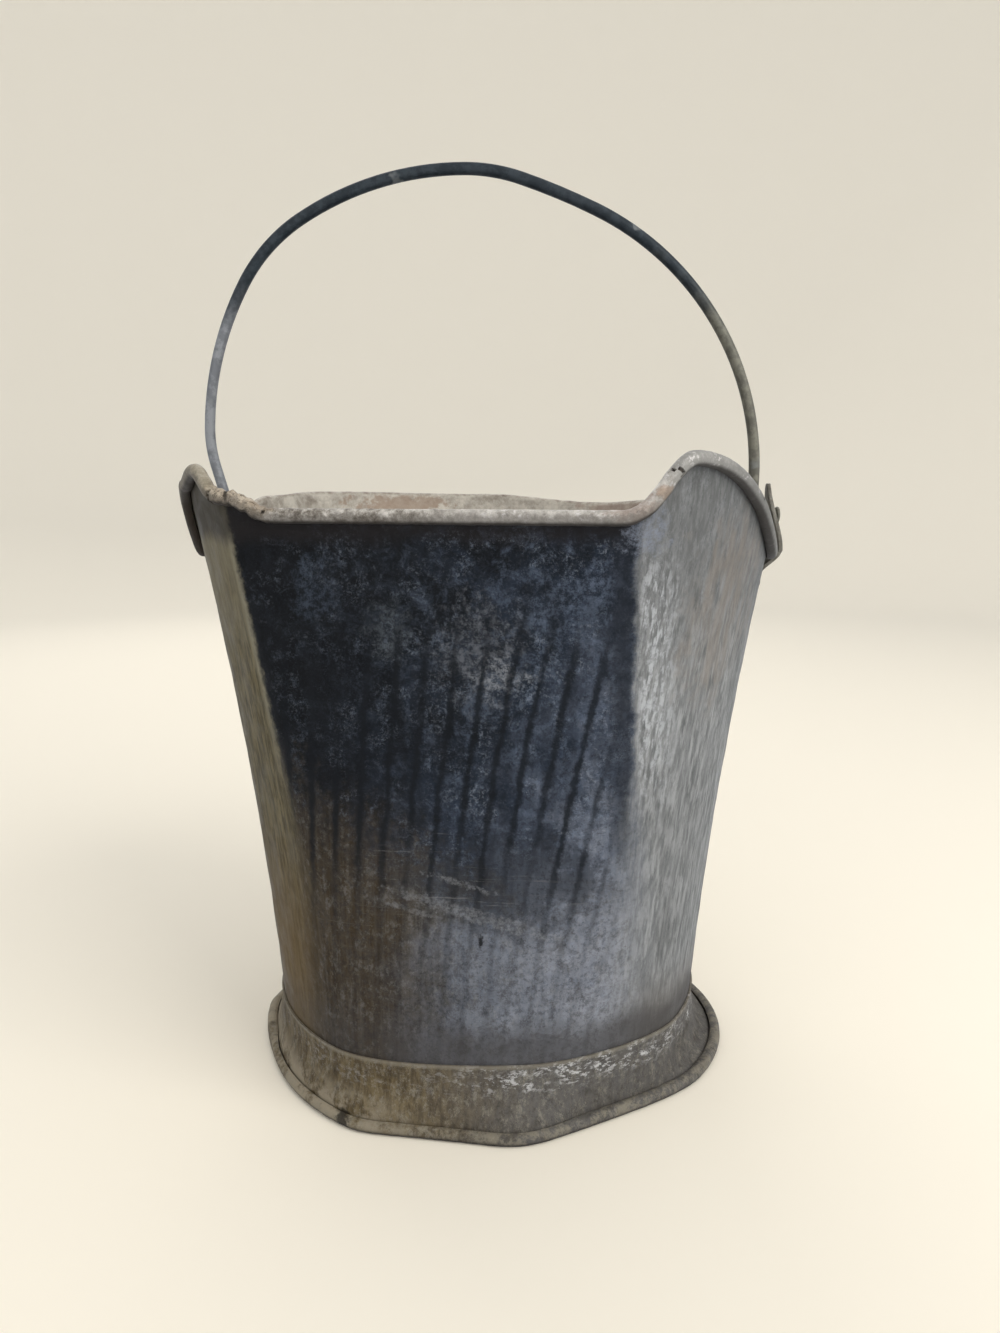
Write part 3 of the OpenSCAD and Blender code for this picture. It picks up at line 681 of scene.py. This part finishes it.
# painted shade: the lower half of the roll, turned away from the light above, is darkened
roll_underside_shade = between(tree, plus(tree, curl, times(tree, ragged, 0.5)), 0.42, 0.62)
roll_underside_shade = times(tree, roll_underside_shade, between(tree, x, 0.062, 0.08, 0.6, 0.12))
roll_colour = laid_over(tree, roll_underside_shade, roll_colour, tone(84, 78, 71))
colour = laid_over(tree, between(tree, curl, 0.12, 0.2), colour, roll_colour)
# painted shade: the tucked-in end of the curl, under the roll, is darkened
colour = laid_over(tree, times(tree, between(tree, curl, 0.66, 0.78), 0.85), colour,
    tone(52, 47, 43))
# painted shade: a dark hollow at the open left end of the roll
hollow_shade = times(tree, between(tree, plus(tree, curl, ragged), 0.30, 0.42),
    times(tree, between(tree, x, -0.125, -0.135), between(tree, z, 0.294, 0.284, 0.0, 0.75)))
colour = laid_over(tree, hollow_shade, colour, tone(50, 41, 32))

# the face that looks into the bucket: dull grey with pale bloom and brown stains
inside = colour_steps(tree, cloud(tree, where, 60.0, 7.0, 0.7), [
    (0.32, tone(104, 92, 78)), (0.5, tone(146, 140, 130)), (0.66, tone(182, 175, 163))])
within = times(tree, attribute(tree, "inner"), between(tree, curl, 0.12, 0.0))
colour = laid_over(tree, within, colour, inside)
tree.links.new(colour, shader.inputs["Base Color"])
rough = between(tree, cloud(tree, where, 70.0, 5.0), 0.3, 0.7, 0.46, 0.68)
tree.links.new(rough, shader.inputs["Roughness"])
give_skin(tree, shader, where)
finish_piece("front_sheet_rolled", front_mesh, stained, ["front_sheet"])

# ---- back half of the body ----
# The second sheet, still round, tucked behind the front sheet at both seams, with the same
# rolled edge. Outside it is plain silver-grey; inside it is pale with brown stains near the rim.


def behind(a):
    """How far the back sheet steps in to pass behind the front sheet, 0 to 1."""
    b = a % 360
    away = min(b, 360 - b, abs(b - 180))
    return 1 - ease((away - lap_half) / 4)


def back_shape(a, v, side):
    p = rolled_sheet(a, v, side, (sheet_t + lap_gap) * behind(a))
    low = clamp((p.z - 36) / 22) * clamp((roll_z(a) - 5 - p.z) / 18)
    free = clamp(1 - 2 * behind(a))
    p -= wall_out(a, min(p.z, rim_z)) * free * low * (0.5 + 0.5 * noise.noise(p * 0.03))
    if v > 1:
        sag = 0.25 + 0.25 * noise.noise(Vector((a * 0.5, v, 1.0)))
        p -= Vector((0, 0, sag)) + 0.15 * wall_out(a, rim_z)
    return p


def back_cut(a, v):
    if v > 1 or mix(body_low, roll_z(a), v) > ear_roll_z - roll_out - 1:
        y = rim_r * sind(a)
        return (a < 90 and y < 2.5) or (a > 90 and y < 14)
    return False


back_mesh = pressed(spread((-lap_half, 184 + lap_half - 4, 1.1)),
    spread((0, 1, 1 / 60), (1, 2, 0.0625)), back_shape, back_cut,
    {"curl": lambda a, v, co: max(0, v - 1)})

greyed, tree, shader = new_material("grey_zinc", metallic=0.25)
where, x, y, z = places(tree)
wander = minus(tree, cloud(tree, where, 38.0, 6.0, 0.65), 0.5)
fine_streaks = placed(tree, streaks, Vector=where, Scale=900.0, Length=34.0, Contrast=0.13)
long_streaks = placed(tree, streaks, Vector=where, Scale=240.0, Length=22.0, Contrast=0.15)
outside = laid_over(tree, fine_streaks, tone(122, 122, 118), tone(154, 154, 150))
outside = laid_over(tree, times(tree, long_streaks, 0.6), outside, tone(138, 136, 130))
stain = between(tree, wander, 0.02, 0.16)
outside = laid_over(tree, times(tree, stain, 0.5), outside, tone(104, 102, 98))
outside = laid_over(tree, times(tree, placed(tree, specks, Vector=where, Speck_Scale=620.0,
    Cluster_Scale=48.0, Cover=0.42), 0.5), outside, tone(176, 176, 173))
outside = laid_over(tree, between(tree, plus(tree, z, times(tree, wander, 0.03)), 0.075, 0.04, 0.0,
    0.5), outside, tone(104, 98, 86))
near_seam = times(tree, between(tree, x, -0.05, -0.11),
    between(tree, plus(tree, y, times(tree, wander, 0.08)), 0.085, 0.01, 0.0, 0.5))
outside = laid_over(tree, near_seam, outside, tone(112, 106, 92))
inside = colour_steps(tree, cloud(tree, where, 70.0, 7.0, 0.72), [
    (0.30, tone(110, 96, 80)), (0.46, tone(168, 160, 147)), (0.6, tone(205, 198, 184))])
inside = laid_over(tree, between(tree, z, 0.25, 0.12, 0.0, 0.75), inside, tone(112, 108, 100))
for centre, reach, amount, rust in (
        ((-0.06, 0.132, 0.284), (0.034, 0.05, 0.007), 0.6, tone(140, 112, 88)),
        ((0.085, 0.118, 0.284), (0.03, 0.05, 0.010), 0.45, tone(160, 132, 116)),
        ((0.0, 0.1, 0.045), (0.09, 0.06, 0.03), 0.6, tone(110, 84, 60))):
    inside = laid_over(tree, times(tree, patch_at(tree, where, centre, reach, 1.2, 120.0), amount),
        inside, rust)
colour = laid_over(tree, attribute(tree, "inner"), outside, inside)
curl = attribute(tree, "curl")
roll_colour = colour_steps(tree, cloud(tree, where, 150.0, 6.0, 0.75), [
    (0.32, tone(112, 98, 84)), (0.5, tone(166, 157, 143)), (0.64, tone(196, 188, 174))])
colour = laid_over(tree, between(tree, curl, 0.04, 0.16), colour, roll_colour)
tree.links.new(colour, shader.inputs["Base Color"])
tree.links.new(between(tree, cloud(tree, where, 70.0, 5.0), 0.3, 0.7, 0.48, 0.7),
    shader.inputs["Roughness"])
give_skin(tree, shader, where)
finish_piece("back_sheet_rolled", back_mesh, greyed, ["back_sheet"])

# ---- wires inside the rolled edges ----
# Drawn steel wire laid along each top edge before the sheet was rolled over it. It shows only
# at the cracks and at the ends of the rolls beside the ears.
wire_r = 1.8


def tube(stations, sides):
    """A round bar, closed at its ends, through stations of (middle, one side, other side, radius)
    that are given in millimetres."""
    def place(i, k):
        centre, one, other, radius = stations[i]
        w = math.tau * k / sides
        return centre + radius * (math.cos(w) * one + math.sin(w) * other)
    bm = bmesh.new()
    bmesh.ops.create_grid(bm, x_segments=len(stations) - 1, y_segments=sides, size=1)
    for v in bm.verts:
        i = round((v.co.x + 1) / 2 * (len(stations) - 1))
        k = round((v.co.y + 1) / 2 * sides) % sides
        v.co = place(i, k) * MM
    bmesh.ops.remove_doubles(bm, verts=bm.verts, dist=1e-7)
    ends = [e for e in bm.edges if e.is_boundary]
    bmesh.ops.holes_fill(bm, edges=ends, sides=0)
    bmesh.ops.recalc_face_normals(bm, faces=bm.faces)
    return bm


dull_wire, tree, shader = new_material("dull_wire", metallic=0.4)
where = put(tree, "ShaderNodeTexCoord").outputs["Object"]
wire_colour = colour_steps(tree, cloud(tree, where, 260.0, 5.0, 0.7), [
    (0.34, tone(60, 48, 38)), (0.5, tone(86, 78, 70)), (0.66, tone(116, 110, 102))])
tree.links.new(wire_colour, shader.inputs["Base Color"])
tree.links.new(between(tree, cloud(tree, where, 300.0), 0.3, 0.7, 0.5, 0.75),
    shader.inputs["Roughness"])
give_skin(tree, shader, where, 1200.0, 0.6)


def wire_stop(gap):
    return math.degrees(math.asin((gap + 1.5) / rim_r))


for wire_name, first, last, inset_at, node in (
        ("front_edge_wire", 180 + wire_stop(14), 360 - wire_stop(2.5),
         lambda a: 0.0, "front_rim_wire"),
        ("back_edge_wire", wire_stop(2.5), 180 - wire_stop(14),
         lambda a: (sheet_t + lap_gap) * behind(a), "back_rim_wire")):
    wire_line = []
    for a in spread((first, last, 1.0)):
        centre, out, up = roll_frame(a, inset_at(a))
        wire_line.append((centre, out, up, wire_r - 0.15))
    finish_piece(wire_name, tube(wire_line, 12), dull_wire, [node])

# ---- foot ring and its wire ----
# A separate flared band soldered round the bottom of the body, its lower edge rolled round a
# wire to make the bead the bucket stands on. The bead is knocked in at the front, kinked at the
# left, and has sprung off the band at the right, which leaves a dark gap there.
foot_h, skirt_start = 34.0, 28.0
foot_r, knocked_in = 119.5, 111.5
foot_roll_z = roll_out - 0.2


def bead_r(a):
    b = (a + 185) % 360
    sprung = 9.5 * max(0, cosd(1.8 * (b - 180))) ** 2
    return soft_min(soft_min(foot_r + sprung, flat_r(a, 261, knocked_in), 3),
        flat_r(a, 298, knocked_in), 10)


def hug_r(a, z):
    return wall_r(a, z) + lap_gap + sheet_t


def on_skirt(a, z):
    s = max(0, (skirt_start - z) / (skirt_start - foot_roll_z))
    low_r = max(bead_r(a) - roll_in - roll_out, hug_r(a, skirt_start) + sheet_t / 2)
    r = mix(hug_r(a, max(z, skirt_start)), low_r, s)
    return Vector((r * cosd(a), r * sind(a), z))


def skirt_out(a, z):
    d = on_skirt(a + 1, z) - on_skirt(a - 1, z)
    return Vector((d.y, -d.x, 0)).normalized()


def hammered(a):
    """1 where the bead is beaten tight against the band, at the left and the front."""
    b = a % 360
    return ease((b - 188) / 14) * ease((302 - b) / 16)


def foot_shape(a, v, side):
    """v runs 0 to 1 round the bead from its lip, and 1 to 2 up the flared band."""
    out = skirt_out(a, foot_roll_z)
    centre = on_skirt(a, foot_roll_z) + roll_in * out
    if v <= 1:
        w = 180 + mix(316, 266, hammered(a)) * (1 - v)
        bumps = 0.12 * noise.noise(Vector((a * 0.35, v * 2, 5.0)))
        p = centre + (roll_in + side * (sheet_t + bumps)) * (cosd(w) * out + sind(w) * Vector((0, 0,
            1)))
        return Vector((p.x, p.y, max(p.z, 0.1)))
    z = mix(foot_roll_z, foot_h, v - 1)
    p = on_skirt(a, z)
    b = (a + 180) % 360 - 180
    gap = 4.0 * ease((b + 42) / 14) * ease((12 - b) / 14)
    s = clamp((z - foot_roll_z) / 4.5)
    fade = clamp((skirt_start - z) / 18)
    p -= skirt_out(a, z) * gap * ease(s) * min(1, fade * 1.3)
    p -= skirt_out(a, z) * 0.35 * dish(clamp((z - 5) / 23)) * (1 + noise.noise(p * 0.05))
    p += skirt_out(a, z) * 1.9 * hammered(a) * ease((z - foot_roll_z) / 2.6) * ease((20 - z) / 13)
    return p - side * sheet_t * skirt_out(a, z)


foot_mesh = pressed(spread((0, 222, 1.4), (222, 244, 0.6), (244, 360, 1.0)),
                    spread((0, 1, 1 / 18), (1, 1.25, 1 / 28), (1.25, 2, 1 / 16)), foot_shape, None,
                    {"bead": lambda a, v, co: max(0, 1 - v)})
foot_zinc, tree, shader = new_material("foot_zinc", metallic=0.15, specular=0.25)
where, x, y, z = places(tree)
short_streaks = placed(tree, streaks, Vector=where, Scale=420.0, Length=5.0, Contrast=0.14)
colour = laid_over(tree, short_streaks, tone(76, 63, 41), tone(108, 94, 66))
colour = laid_over(tree, between(tree, x, -0.05, 0.03, 0.0, 0.78), colour, tone(92, 91, 90))
scuffs = between(tree, cloud(tree, where, 210.0, 9.0, 0.9, stretch=(1, 1, 0.6)), 0.50, 0.60)
colour = laid_over(tree, times(tree, scuffs, 0.62), colour, tone(140, 134, 120))
grime = between(tree, cloud(tree, where, 330.0, 8.0, 0.9, stretch=(1, 1, 0.6)), 0.51, 0.60)
colour = laid_over(tree, times(tree, grime, 0.5), colour, tone(44, 37, 28))
blotch = cloud(tree, where, 90.0, 6.0, 0.7)
colour = laid_over(tree, between(tree, blotch, 0.52, 0.68, 0.0, 0.45), colour, tone(56, 50, 42))
bloom = times(tree, between(tree, x, -0.02, -0.07), between(tree, z, 0.022, 0.006))
colour = laid_over(tree, times(tree, bloom, between(tree, blotch, 0.38, 0.56)), colour,
    tone(150, 139, 118))
squashed = put(tree, "ShaderNodeMapping", {"Vector": where, "Scale": (0.7, 0.7, 1.3)}).outputs[0]
flecks = placed(tree, specks, Vector=squashed, Speck_Scale=400.0, Cluster_Scale=85.0, Cover=0.58)
fleck_place = times(tree, between(tree, z, 0.016, 0.026), between(tree, x, -0.02, 0.03, 0.2, 0.85))
colour = laid_over(tree, times(tree, flecks, fleck_place), colour, tone(204, 202, 198))
bead = attribute(tree, "bead")
bead_rub = times(tree, between(tree, bead, 0.05, 0.2),
    between(tree, cloud(tree, where, 140.0, 7.0, 0.8), 0.44, 0.58, 0.0, 0.6))
colour = laid_over(tree, bead_rub, colour, tone(142, 134, 116))
# painted shade: the underside of the bead, near the floor, is darkened
underside_shade = between(tree, z, 0.0032, 0.0012)
colour = laid_over(tree, times(tree, underside_shade, 0.75), colour, tone(46, 40, 34))
kink = patch_at(tree, where, (-0.067, -0.096, 0.003), (0.004, 0.012, 0.0045), 0.7, 300.0)
colour = laid_over(tree, times(tree, kink, 0.85), colour, tone(28, 23, 18))
top_edge = between(tree, z, 0.0315, 0.0335)
colour = laid_over(tree, times(tree, top_edge, 0.55), colour, tone(140, 132, 116))
tree.links.new(colour, shader.inputs["Base Color"])
tree.links.new(between(tree, blotch, 0.3, 0.7, 0.55, 0.8), shader.inputs["Roughness"])
give_skin(tree, shader, where, 700.0, 0.8, 0.5)
finish_piece("foot_ring_rolled", foot_mesh, foot_zinc, ["foot_ring"])

foot_wire_line = []
for a in spread((0, 360, 2.0)):
    out = skirt_out(a, foot_roll_z)
    foot_wire_line.append((on_skirt(a, foot_roll_z) + roll_in * out, out, Vector((0, 0, 1)),
        wire_r - 0.1))
finish_piece("foot_bead_wire", tube(foot_wire_line, 12), dull_wire, ["foot_wire"])

# ---- bottom ----
# A pressed steel disc with a turned-down flange, soldered inside the body so that it stands off
# the floor within the foot ring. Its upper face is dull and dirty.
pan_zinc, tree, shader = new_material("pan_zinc", metallic=0.2)
where = put(tree, "ShaderNodeTexCoord").outputs["Object"]
dirt = cloud(tree, where, 34.0, 7.0, 0.7)
colour = colour_steps(tree, dirt, [(0.32, tone(72, 56, 42)), (0.5, tone(118, 112, 102)),
                                   (0.68, tone(148, 144, 136))])
colour = laid_over(tree, times(tree, placed(tree, specks, Vector=where, Speck_Scale=520.0,
    Cluster_Scale=50.0, Cover=0.45), 0.6), colour, tone(180, 174, 162))
tree.links.new(colour, shader.inputs["Base Color"])
tree.links.new(between(tree, dirt, 0.3, 0.7, 0.75, 0.55), shader.inputs["Roughness"])
give_skin(tree, shader, where, 700.0, 0.8)
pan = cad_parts["bottom_pan"]
pan.data.materials.clear()
pan.data.materials.append(pan_zinc)

# ---- ears and rivets ----
# A leaf-shaped plate of thicker steel at each side, bulged over the roll and held to the lapped
# sheets by two domed rivets. The eye near its top carries the bail.
ear_zinc, tree, shader = new_material("ear_zinc", metallic=0.25)
where = put(tree, "ShaderNodeTexCoord").outputs["Object"]
fine_streaks = placed(tree, streaks, Vector=where, Scale=420.0, Length=9.0, Contrast=0.14)
colour = laid_over(tree, fine_streaks, tone(92, 88, 78), tone(124, 120, 109))
colour = laid_over(tree, between(tree, cloud(tree, where, 150.0, 5.0, 0.7), 0.50, 0.64, 0.0, 0.6),
    colour, tone(66, 60, 50))
colour = laid_over(tree, times(tree, placed(tree, specks, Vector=where, Speck_Scale=700.0,
    Cluster_Scale=110.0, Cover=0.45), 0.6), colour, tone(158, 154, 144))
tree.links.new(colour, shader.inputs["Base Color"])
tree.links.new(between(tree, cloud(tree, where, 120.0), 0.3, 0.7, 0.5, 0.7),
    shader.inputs["Roughness"])
give_skin(tree, shader, where)


def rounded_copy(node, width, corner=30):
    """The plain node's shape with its loose triangles joined and its sharp edges rounded."""
    bm = bmesh.new()
    bm.from_mesh(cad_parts[node].data)
    bmesh.ops.remove_doubles(bm, verts=bm.verts, dist=2e-6)
    bmesh.ops.dissolve_limit(bm, angle_limit=math.radians(1.5), verts=bm.verts, edges=bm.edges)
    sharp = [e for e in bm.edges
             if len(e.link_faces) == 2 and e.calc_face_angle() > math.radians(corner)]
    bmesh.ops.bevel(bm, geom=sharp, offset=width, offset_type="OFFSET", affect="EDGES", segments=2,
                    profile=0.5, material=-1, clamp_overlap=True)
    bmesh.ops.triangulate(bm, faces=[f for f in bm.faces if len(f.verts) > 4])
    return bm


for side in ("right", "left"):
    finish_piece(side + "_ear_plate", rounded_copy(side + "_ear", 0.00035), ear_zinc,
                 [side + "_ear"], sharp=35)

rivet_zinc, tree, shader = new_material("rivet_zinc", metallic=0.3)
where = put(tree, "ShaderNodeTexCoord").outputs["Object"]
colour = colour_steps(tree, cloud(tree, where, 420.0, 5.0, 0.7), [
    (0.34, tone(74, 68, 58)), (0.5, tone(112, 108, 99)), (0.66, tone(146, 142, 134))])
tree.links.new(colour, shader.inputs["Base Color"])
tree.links.new(between(tree, cloud(tree, where, 500.0), 0.3, 0.7, 0.45, 0.7),
    shader.inputs["Roughness"])
give_skin(tree, shader, where, 1200.0, 0.5)
for side in ("right", "left"):
    for place in ("front", "back"):
        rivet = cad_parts["%s_ear_rivet_%s" % (side, place)]
        rivet.data.materials.clear()
        rivet.data.materials.append(rivet_zinc)

# ---- bail ----
# A round iron bar bent by hand into an uneven hoop. Each end is hooked outwards through an ear's
# eye and hammered to a flat head. It is slate dark on top and lighter down the legs, where a
# highlight is painted.
eye_z = 282.35
bar_r = 3.0
bail_half = 139.6
crown_x = -0.072 * bail_half
bail_rise = 166.6
hook_r = 6.0


def leg_line(bends, side, head_out):
    """Stations down one leg from the crown, as (middle, normal, across, radius)."""
    s, d, h = 0.0, 0.0, 0.0
    line = []

    def bend(r, turn, count):
        nonlocal s, d, h
        for _ in range(count):
            h2 = h + turn / count
            s += r * (sind(h2) - sind(h))
            d += r * (cosd(h) - cosd(h2))
            h = h2
            line.append((s, d, h, bar_r))
    for radius, turn in bends:
        bend(radius * bail_half, turn, max(4, round(turn / 2)))
    leg = (bail_rise - d - hook_r * (1 - cosd(h))) / sind(h)
    s0, d0 = s, d
    for k in range(1, 13):
        s, d = s0 + leg * cosd(h) * k / 12, d0 + leg * sind(h) * k / 12
        line.append((s, d, h, bar_r))
    bend(-hook_r, -h, 10)
    end = side * crown_x + s
    for out, radius in ((1.5, bar_r), (head_out - end - 0.15, bar_r), (head_out - end, 3.9),
                        (head_out - end + 0.4, 4.2), (head_out - end + 1.2, 4.2),
                        (head_out - end + 1.5, 3.9), (head_out - end + 1.6, 3.3)):
        line.append((s + out, d, 0.0, radius))
    stations = []
    for s1, d1, h1, radius in line:
        centre = Vector((crown_x + side * s1, 0, eye_z + bail_rise - d1))
        worn = (0.12 if side < 0 else 0.06) * clamp(d1 / 70 - 0.4) * clamp((bail_rise - d1) / 12)
        lump = 1 - worn - 0.018 * (1 + noise.noise(centre * 0.06)) if radius == bar_r else 1
        stations.append((centre, Vector((side * sind(h1), 0, cosd(h1))), Vector((0, 1, 0)),
            radius * lump))
    return stations


bail_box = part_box("bail")
head_t = 1.6
left_leg = leg_line([(1.097, 32), (0.611, 28), (1.11, 27), (0.448, 18)], -1,
    -bail_box[0][0] / MM - head_t)
right_leg = leg_line([(0.639, 18), (2.458, 6.5), (1.03, 37), (0.987, 33)], 1,
    bail_box[1][0] / MM - head_t)
crown = (Vector((crown_x, 0, eye_z + bail_rise)), Vector((0, 0, 1)), Vector((0, 1, 0)),
    bar_r * 0.98)
bail_mesh = tube(left_leg[::-1] + [crown] + right_leg, 24)

slate, tree, shader = new_material("slate_iron", metallic=0.3, specular=0.3)
where, x, y, z = places(tree)
wander = minus(tree, cloud(tree, where, 30.0, 4.0, 0.6), 0.5)
mottle_and_highlight_streaks = cloud(tree, where, 160.0, 5.0, 0.7)
# painted highlight: the legs are painted lighter than the slate crown, the left leg lightest
top = laid_over(tree, between(tree, mottle_and_highlight_streaks, 0.42, 0.62), tone(36, 43, 48), tone(54, 61, 66))
left_tone = laid_over(tree, between(tree, mottle_and_highlight_streaks, 0.4, 0.6), tone(116, 118, 121),
    tone(146, 148, 150))
right_tone = laid_over(tree, between(tree, mottle_and_highlight_streaks, 0.4, 0.6), tone(96, 94, 84), tone(124, 121, 108))
leg_tone = laid_over(tree, between(tree, x, -0.02, 0.02), left_tone, right_tone)
down = between(tree, plus(tree, z, times(tree, wander, 0.08)), 0.405, 0.365)
colour = laid_over(tree, down, top, leg_tone)
blotches = between(tree, cloud(tree, where, 60.0, 3.0, 0.5), 0.66, 0.72)
colour = laid_over(tree, times(tree, blotches, 0.45), colour, tone(140, 142, 140))
tree.links.new(colour, shader.inputs["Base Color"])
tree.links.new(between(tree, mottle_and_highlight_streaks, 0.3, 0.7, 0.42, 0.6), shader.inputs["Roughness"])
give_skin(tree, shader, where, 1100.0, 0.6, 0.3)
finish_piece("bail_bar", bail_mesh, slate, ["bail"], body="bail", sharp=50)
